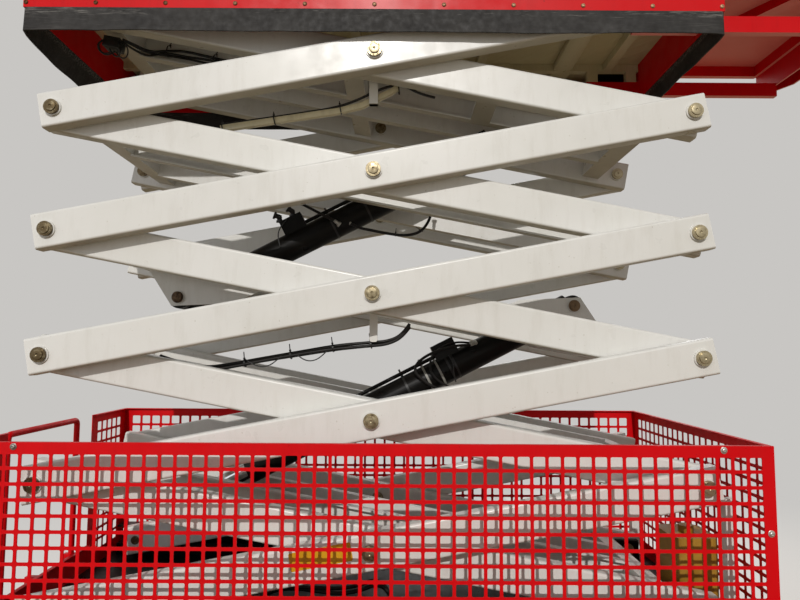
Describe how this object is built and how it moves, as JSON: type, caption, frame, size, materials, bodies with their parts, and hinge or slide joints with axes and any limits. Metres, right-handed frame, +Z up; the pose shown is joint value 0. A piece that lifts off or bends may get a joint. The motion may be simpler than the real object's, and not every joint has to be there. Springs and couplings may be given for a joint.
{
  "type": "scissor lift",
  "caption": "Self-propelled scissor lift with stacked crossed arms, two hydraulic cylinders, punched guard, railed platform with roll-out deck, steered wheels.",
  "frame": {"origin": "on the ground under the middle of the overall outline with the roll-out deck pulled out", "axes": "+X along the machine towards the roll-out deck, +Y across it to the far side, +Z up"},
  "size_m": [3.367, 1.2, 4.0798],
  "materials": {
    "arm_paint": "cream gloss paint",
    "zinc_steel": "yellow passivated zinc, dull",
    "red_paint": "red gloss paint",
    "dark_paint": "black paint, half gloss",
    "chrome_rod": "hard chrome, polished",
    "skirt_rubber": "dark grey sheet rubber",
    "hose_rubber": "black hose rubber",
    "tyre": "black solid tyre",
    "rim_paint": "cream paint",
    "deck_alu": "rolled plate",
    "tank_plastic": "golden brown moulded plastic"
  },
  "bodies": {
    "chassis": {"chassis_frame": "dark_paint", "chassis_deck": "dark_paint", "base_rails": "dark_paint", "base_pins": "zinc_steel", "drive_axle": "dark_paint", "steer_axle": "dark_paint", "side_boxes": "red_paint", "guard_sides": "red_paint", "guard_ends": "red_paint", "end_posts": "arm_paint", "oil_tank": "tank_plastic", "ladder": "red_paint"},
    "inner_1": {"inner_arms_1": "arm_paint", "inner_ties_1": "arm_paint"},
    "outer_1": {"outer_arms_1": "arm_paint", "pins_1": "zinc_steel"},
    "inner_2": {"inner_arms_2": "arm_paint", "inner_ties_2": "arm_paint"},
    "outer_2": {"outer_arms_2": "arm_paint", "pins_2": "zinc_steel"},
    "inner_3": {"inner_arms_3": "arm_paint", "inner_ties_3": "arm_paint"},
    "outer_3": {"outer_arms_3": "arm_paint", "pins_3": "zinc_steel", "arm_hoses": "hose_rubber"},
    "inner_4": {"inner_arms_4": "arm_paint", "inner_ties_4": "arm_paint"},
    "outer_4": {"outer_arms_4": "arm_paint", "pins_4": "zinc_steel"},
    "inner_5": {"inner_arms_5": "arm_paint", "inner_ties_5": "arm_paint", "top_rollers": "zinc_steel"},
    "outer_5": {"outer_arms_5": "arm_paint", "pins_5": "zinc_steel"},
    "platform": {"platform_sides": "red_paint", "platform_frame": "arm_paint", "platform_deck": "deck_alu", "platform_guides": "dark_paint", "platform_pins": "zinc_steel", "platform_skirt": "skirt_rubber", "guardrail_far": "red_paint", "guardrail_near": "red_paint"},
    "gate": {"gate": "red_paint"},
    "extension": {"extension_deck": "red_paint", "extension_rail": "red_paint"},
    "lower_barrel": {"lower_barrel": "dark_paint"},
    "lower_rod": {"lower_rod": "chrome_rod"},
    "upper_barrel": {"upper_barrel": "dark_paint"},
    "upper_rod": {"upper_rod": "chrome_rod"},
    "wheel_front_near": {"tyre_front_near": "tyre", "rim_front_near": "rim_paint"},
    "wheel_front_far": {"tyre_front_far": "tyre", "rim_front_far": "rim_paint"},
    "wheel_rear_near": {"tyre_rear_near": "tyre", "rim_rear_near": "rim_paint"},
    "wheel_rear_far": {"tyre_rear_far": "tyre", "rim_rear_far": "rim_paint"},
    "knuckle_near": {"knuckle_near": "dark_paint"},
    "knuckle_far": {"knuckle_far": "dark_paint"},
    "tie_rod": {"tie_rod": "zinc_steel"}
  },
  "joints": [
    {"name": "lift", "type": "hinge", "parent": "chassis", "child": "inner_1", "pos_m": [0.83749, 0, 0.672], "axis": [0, 1, 0], "range_deg": [-6.35, 32.15]},
    {"name": "cross_1", "type": "hinge", "parent": "inner_1", "child": "outer_1", "pos_m": [-0.3165, 0, 0.89318], "axis": [0, 1, 0], "range_deg": [-64.28, 12.68]},
    {"name": "left_1", "type": "hinge", "parent": "inner_1", "child": "outer_2", "pos_m": [-1.4705, 0, 1.11436], "axis": [0, 1, 0], "range_deg": [-64.28, 12.68]},
    {"name": "cross_2", "type": "hinge", "parent": "outer_2", "child": "inner_2", "pos_m": [-0.3165, 0, 1.33554], "axis": [0, 1, 0], "range_deg": [-12.72, 64.32]},
    {"name": "right_2", "type": "hinge", "parent": "outer_2", "child": "inner_3", "pos_m": [0.83749, 0, 1.55672], "axis": [0, 1, 0], "range_deg": [-12.72, 64.32]},
    {"name": "cross_3", "type": "hinge", "parent": "inner_3", "child": "outer_3", "pos_m": [-0.3165, 0, 1.7779], "axis": [0, 1, 0], "range_deg": [-64.28, 12.68]},
    {"name": "left_3", "type": "hinge", "parent": "inner_3", "child": "outer_4", "pos_m": [-1.4705, 0, 1.99908], "axis": [0, 1, 0], "range_deg": [-64.28, 12.68]},
    {"name": "cross_4", "type": "hinge", "parent": "outer_4", "child": "inner_4", "pos_m": [-0.3165, 0, 2.22026], "axis": [0, 1, 0], "range_deg": [-12.72, 64.32]},
    {"name": "right_4", "type": "hinge", "parent": "outer_4", "child": "inner_5", "pos_m": [0.83749, 0, 2.44144], "axis": [0, 1, 0], "range_deg": [-12.72, 64.32]},
    {"name": "cross_5", "type": "hinge", "parent": "inner_5", "child": "outer_5", "pos_m": [-0.3165, 0, 2.66262], "axis": [0, 1, 0], "range_deg": [-64.28, 12.68]},
    {"name": "platform_pivot", "type": "hinge", "parent": "outer_5", "child": "platform", "pos_m": [0.83749, 0, 2.8838], "axis": [0, 1, 0], "range_deg": [-6.37, 32.17]},
    {"name": "lower_barrel_pivot", "type": "hinge", "parent": "inner_3", "child": "lower_barrel", "pos_m": [0.49555, 0, 1.76481], "axis": [0, 1, 0], "range_deg": [-66.84, 13.19]},
    {"name": "lower_rod_slide", "type": "slide", "parent": "lower_barrel", "child": "lower_rod", "axis": [-0.89, 0, -0.4559], "range_m": [-0.17409, 0.87939]},
    {"name": "upper_barrel_pivot", "type": "hinge", "parent": "inner_3", "child": "upper_barrel", "pos_m": [-1.12855, 0, 1.79099], "axis": [0, 1, 0], "range_deg": [-66.84, 13.19]},
    {"name": "upper_rod_slide", "type": "slide", "parent": "upper_barrel", "child": "upper_rod", "axis": [0.89, 0, 0.4559], "range_m": [-0.17409, 0.87939]},
    {"name": "extension_slide", "type": "slide", "parent": "platform", "child": "extension", "axis": [1, 0, 0], "range_m": [-0.65, 0]},
    {"name": "gate_hinge", "type": "hinge", "parent": "platform", "child": "gate", "pos_m": [-1.5285, 0.457, 3.4798], "axis": [0, 0, 1], "range_deg": [0, 90]},
    {"name": "steer_near", "type": "hinge", "parent": "chassis", "child": "knuckle_near", "pos_m": [-1.1665, -0.345, 0.28], "axis": [0, 0, 1], "range_deg": [-25, 25]},
    {"name": "steer_far", "type": "hinge", "parent": "chassis", "child": "knuckle_far", "pos_m": [-1.1665, 0.345, 0.28], "axis": [0, 0, 1], "range_deg": [-25, 25]},
    {"name": "tie_rod_slide", "type": "slide", "parent": "chassis", "child": "tie_rod", "axis": [0, 1, 0], "range_m": [-0.0485, 0.0485]},
    {"name": "roll_front_near", "type": "hinge", "parent": "knuckle_near", "child": "wheel_front_near", "pos_m": [-1.1665, -0.485, 0.28], "axis": [0, 1, 0], "continuous": true},
    {"name": "roll_front_far", "type": "hinge", "parent": "knuckle_far", "child": "wheel_front_far", "pos_m": [-1.1665, 0.485, 0.28], "axis": [0, 1, 0], "continuous": true},
    {"name": "roll_rear_near", "type": "hinge", "parent": "chassis", "child": "wheel_rear_near", "pos_m": [0.5335, -0.485, 0.28], "axis": [0, 1, 0], "continuous": true},
    {"name": "roll_rear_far", "type": "hinge", "parent": "chassis", "child": "wheel_rear_far", "pos_m": [0.5335, 0.485, 0.28], "axis": [0, 1, 0], "continuous": true}
  ],
  "couplings": [
    {"joint": "cross_1", "follows": "lift", "ratio": -2},
    {"joint": "left_1", "follows": "lift", "ratio": -2},
    {"joint": "cross_2", "follows": "lift", "ratio": 2},
    {"joint": "right_2", "follows": "lift", "ratio": 2},
    {"joint": "cross_3", "follows": "lift", "ratio": -2},
    {"joint": "left_3", "follows": "lift", "ratio": -2},
    {"joint": "cross_4", "follows": "lift", "ratio": 2},
    {"joint": "right_4", "follows": "lift", "ratio": 2},
    {"joint": "cross_5", "follows": "lift", "ratio": -2},
    {"joint": "platform_pivot", "follows": "lift", "ratio": 1},
    {"joint": "lower_barrel_pivot", "follows": "lift", "ratio": -2.0797},
    {"joint": "lower_rod_slide", "follows": "lift", "m_per_rad": 1.5663},
    {"joint": "upper_barrel_pivot", "follows": "lift", "ratio": -2.0797},
    {"joint": "upper_rod_slide", "follows": "lift", "m_per_rad": 1.5663},
    {"joint": "steer_far", "follows": "steer_near", "ratio": 1},
    {"joint": "tie_rod_slide", "follows": "steer_near", "m_per_rad": 0.1065}
  ]
}
